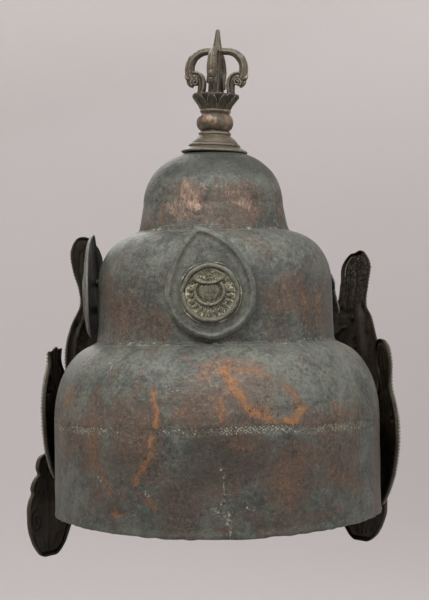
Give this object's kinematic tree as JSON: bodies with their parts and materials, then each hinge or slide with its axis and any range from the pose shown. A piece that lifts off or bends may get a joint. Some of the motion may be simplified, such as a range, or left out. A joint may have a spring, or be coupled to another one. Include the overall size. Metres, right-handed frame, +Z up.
{
  "type": "ritual crown",
  "caption": "Tall domed copper crown in three stacked tiers, with a four-pronged finial and riveted leaf plaques standing off its walls; worn on the head in ritual.",
  "frame": {"origin": "centre of the head opening, in the plane of the rim", "axes": "+Z up along the crown's axis, +Y the way the wearer faces (the lotus teardrop at -Y is at the back of the head), +X the side the finial leans to"},
  "size_m": [0.2267, 0.2259, 0.3201],
  "materials": {
    "body_copper": "hammered sheet with a dark grey-green patina, worn to brown and copper in places",
    "plaque_copper": "nearly black patina on embossed sheet",
    "trim_copper": "grey-brown patina, buff deposit in the recesses",
    "finial_bronze": "cast, grey-green patina with rubbed rose-copper highlights"
  },
  "bodies": {
    "root": {"lower_tier": "body_copper", "middle_tier": "body_copper", "top_dome": "body_copper", "lower_seam": "body_copper", "upper_seam": "body_copper", "seat_plate": "finial_bronze", "pedestal": "finial_bronze", "bulb": "finial_bronze", "lotus_cup": "finial_bronze", "spindle": "finial_bronze", "spindle_washer": "finial_bronze", "prong_back": "finial_bronze", "prong_right": "finial_bronze", "prong_front": "finial_bronze", "prong_left": "finial_bronze", "back_teardrop": "plaque_copper", "back_bezel": "trim_copper", "back_lotus": "trim_copper", "front_teardrop": "plaque_copper", "front_bezel": "trim_copper", "front_lotus": "trim_copper", "left_teardrop": "plaque_copper", "left_bezel": "trim_copper", "left_lotus": "trim_copper", "right_teardrop_scrap": "plaque_copper", "front_leaf": "plaque_copper", "front_leaf_border": "trim_copper", "front_leaf_bezel": "trim_copper", "front_leaf_lotus": "trim_copper", "right_diagonal_leaf": "plaque_copper", "right_diagonal_border": "trim_copper", "right_diagonal_bezel": "trim_copper", "right_diagonal_lotus": "trim_copper", "left_diagonal_leaf": "plaque_copper", "left_diagonal_border": "trim_copper", "left_diagonal_bezel": "trim_copper", "left_diagonal_lotus": "trim_copper", "right_side_leaf": "plaque_copper", "right_side_border": "trim_copper", "left_side_leaf": "plaque_copper", "left_side_border": "trim_copper", "right_ear_plaque": "plaque_copper", "left_ear_plaque": "plaque_copper", "teardrop_pins": "trim_copper", "leaf_rivets": "trim_copper", "leaf_spacers": "trim_copper"}
  },
  "joints": []
}
